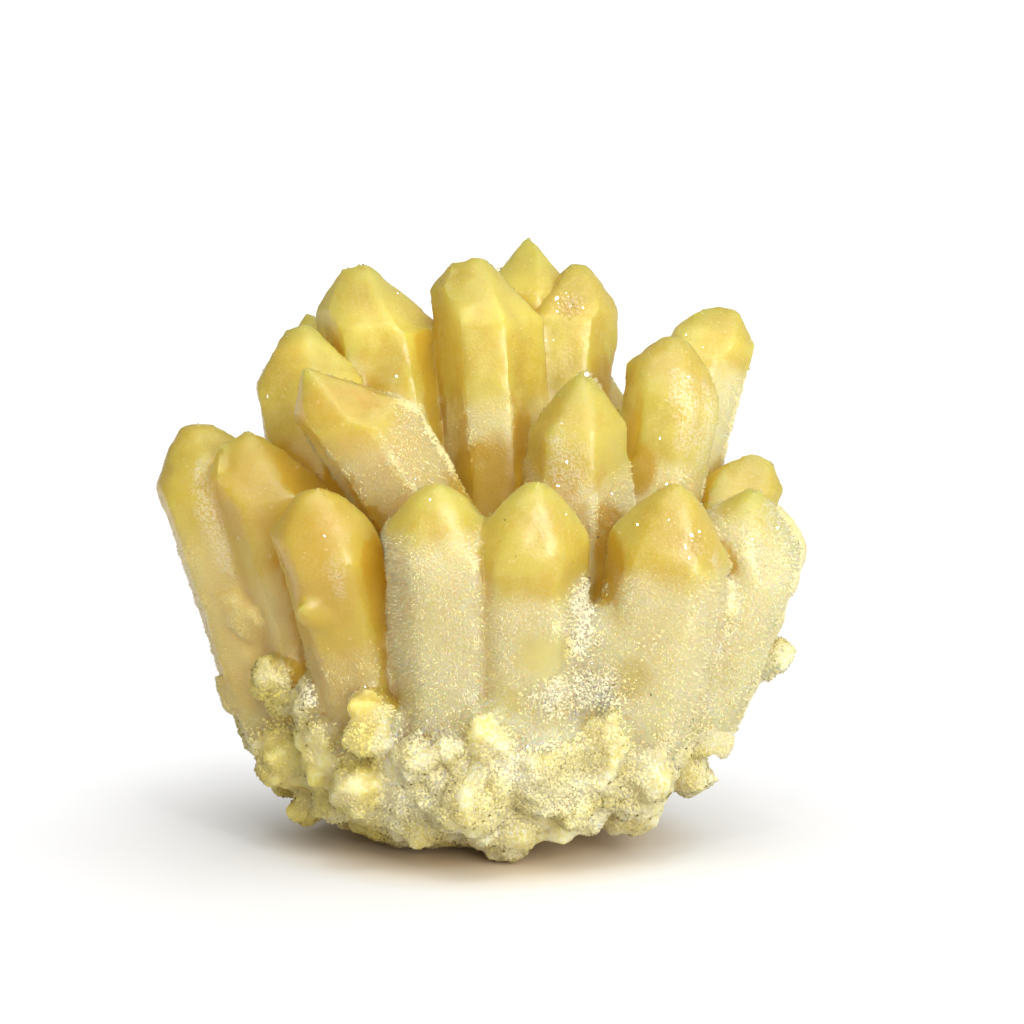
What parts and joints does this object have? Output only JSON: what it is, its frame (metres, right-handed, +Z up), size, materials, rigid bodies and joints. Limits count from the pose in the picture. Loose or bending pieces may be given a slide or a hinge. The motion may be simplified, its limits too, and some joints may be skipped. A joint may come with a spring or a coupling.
{
  "type": "quartz cluster",
  "caption": "Palm-sized natural cluster of pale yellow quartz points, six-sided with sloping caps, fanning out of one drusy base like a bud; rests on its underside as a display mineral.",
  "frame": {"origin": "On the ground under the middle of the cluster's box.", "axes": "+Z is up, out of the base towards the tips. The front shown in the picture faces -Y, and +X is to the viewer's right."},
  "size_m": [0.0704, 0.0561, 0.0648],
  "materials": {
    "quartz": "cloudy translucent quartz, frosted prism faces with sugary white druse, golden yellow caps"
  },
  "bodies": {
    "root": {"quartz_cluster": "quartz"}
  },
  "joints": []
}
